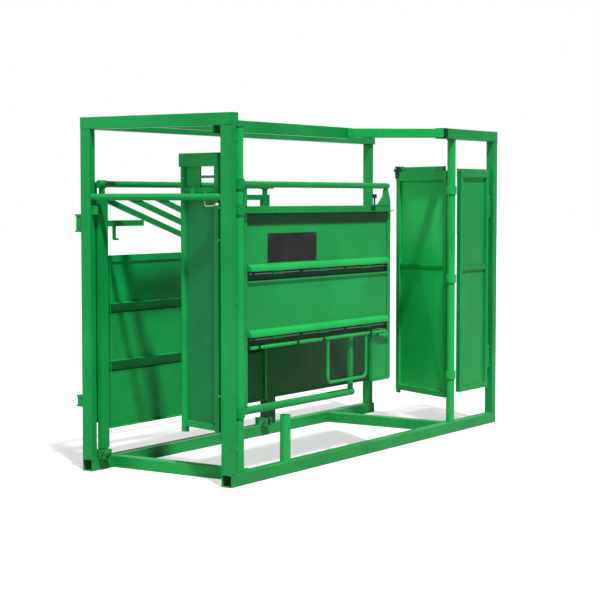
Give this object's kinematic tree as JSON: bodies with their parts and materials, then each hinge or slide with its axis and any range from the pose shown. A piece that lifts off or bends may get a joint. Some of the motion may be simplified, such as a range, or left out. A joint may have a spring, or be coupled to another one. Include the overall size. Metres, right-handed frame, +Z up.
{
  "type": "cattle squeeze chute",
  "caption": "Welded steel tube cattle chute with a head door, a tail door, a swing-out side with drop panels and a leaning squeeze side.",
  "frame": {"origin": "middle of the footprint on the ground", "axes": "+X towards the tail end, +Y towards the squeeze side, +Z up"},
  "size_m": [3.43, 1.2, 2.2],
  "materials": {
    "frame_paint": "gloss green enamel",
    "panel_paint": "gloss green enamel",
    "dark_parts": "satin black",
    "steel": "worn zinc plate",
    "knob": "matt black",
    "label": "plain satin plate"
  },
  "bodies": {
    "frame": {"far_rear_panel": "panel_paint", "base_rail_near": "frame_paint", "base_rail_far": "frame_paint", "base_cross_front": "frame_paint", "base_cross_rear": "frame_paint", "post_front_near": "frame_paint", "post_front_far": "frame_paint", "post_rear_near": "frame_paint", "post_rear_far": "frame_paint", "pipe_post_front": "frame_paint", "pipe_post_tail": "frame_paint", "top_cross_front": "frame_paint", "top_rail_far": "frame_paint", "top_rail_near": "frame_paint", "top_rail_centre": "frame_paint", "top_brace": "frame_paint", "front_bar": "frame_paint", "stub_post": "frame_paint", "head_pin_lower": "steel", "head_pin_upper": "steel", "lever_bracket": "frame_paint", "rear_pin_lower": "steel", "rear_pin_upper": "steel", "squeeze_pin_front": "steel", "squeeze_pin_rear": "steel"},
    "head_door": {"head_door_frame": "frame_paint", "head_door_sheet": "panel_paint"},
    "head_lever": {"head_lever": "frame_paint"},
    "tail_door": {"tail_door_frame": "frame_paint", "tail_door_sheet": "panel_paint", "tail_door_bracket": "dark_parts"},
    "rear_gate": {"rear_gate_frame": "frame_paint", "rear_gate_sheet": "panel_paint"},
    "swing_side": {"side_top_bar": "frame_paint", "side_top_rail": "frame_paint", "side_front_upright": "frame_paint", "side_rear_upright": "frame_paint", "side_lower_tube": "frame_paint", "upper_hinge_rail": "frame_paint", "middle_hinge_rail": "frame_paint", "upper_hinge_rod": "steel", "middle_hinge_rod": "steel", "kick_plate": "panel_paint"},
    "upper_drop": {"upper_drop_panel": "panel_paint", "label_plate": "label"},
    "middle_drop": {"middle_drop_panel": "panel_paint"},
    "latch": {"latch_rod": "frame_paint", "loop_handle": "frame_paint"},
    "pull_pin": {"pull_pin": "knob"},
    "squeeze_side": {"squeeze_upright_front": "frame_paint", "squeeze_upright_rear": "frame_paint", "squeeze_round_bar": "frame_paint", "squeeze_top_rail": "frame_paint", "squeeze_brace_1": "frame_paint", "squeeze_brace_2": "frame_paint", "squeeze_brace_3": "frame_paint", "squeeze_level_bar": "frame_paint", "squeeze_panel_lower": "panel_paint", "squeeze_panel_middle": "panel_paint", "squeeze_panel_upper": "panel_paint"}
  },
  "joints": [
    {"name": "head_door_swing", "type": "hinge", "parent": "frame", "child": "head_door", "pos_m": [-1.635, -0.489, 0.4], "axis": [0, 0, 1], "range_deg": [-50, 15]},
    {"name": "head_lever_swing", "type": "hinge", "parent": "frame", "child": "head_lever", "pos_m": [-1.605, -0.445, 2.095], "axis": [0, -1, 0], "range_deg": [0, 55]},
    {"name": "tail_door_swing", "type": "hinge", "parent": "frame", "child": "tail_door", "pos_m": [1.059, -0.5615, 0.42], "axis": [0, 0, 1], "range_deg": [-35, 26]},
    {"name": "rear_gate_swing", "type": "hinge", "parent": "frame", "child": "rear_gate", "pos_m": [1.629, -0.57, 0.5], "axis": [0, 0, 1], "range_deg": [0, 95]},
    {"name": "swing_side_swing", "type": "hinge", "parent": "frame", "child": "swing_side", "pos_m": [-1.587, -0.5615, 0.43], "axis": [0, 0, -1], "range_deg": [0, 100]},
    {"name": "upper_drop_fold", "type": "hinge", "parent": "swing_side", "child": "upper_drop", "pos_m": [-0.715, -0.574, 1.25], "axis": [1, 0, 0], "range_deg": [0, 120]},
    {"name": "middle_drop_fold", "type": "hinge", "parent": "swing_side", "child": "middle_drop", "pos_m": [-0.715, -0.574, 0.856], "axis": [1, 0, 0], "range_deg": [0, 90]},
    {"name": "latch_turn", "type": "hinge", "parent": "swing_side", "child": "latch", "pos_m": [-0.715, -0.582, 0.806], "axis": [-1, 0, 0], "range_deg": [0, 90]},
    {"name": "pull_pin_slide", "type": "slide", "parent": "swing_side", "child": "pull_pin", "axis": [0, 0, 1], "range_m": [-0.035, 0]},
    {"name": "squeeze_lean", "type": "hinge", "parent": "frame", "child": "squeeze_side", "pos_m": [-0.734, 0.436, 0.11], "axis": [1, 0, 0], "range_deg": [0, 12]}
  ]
}
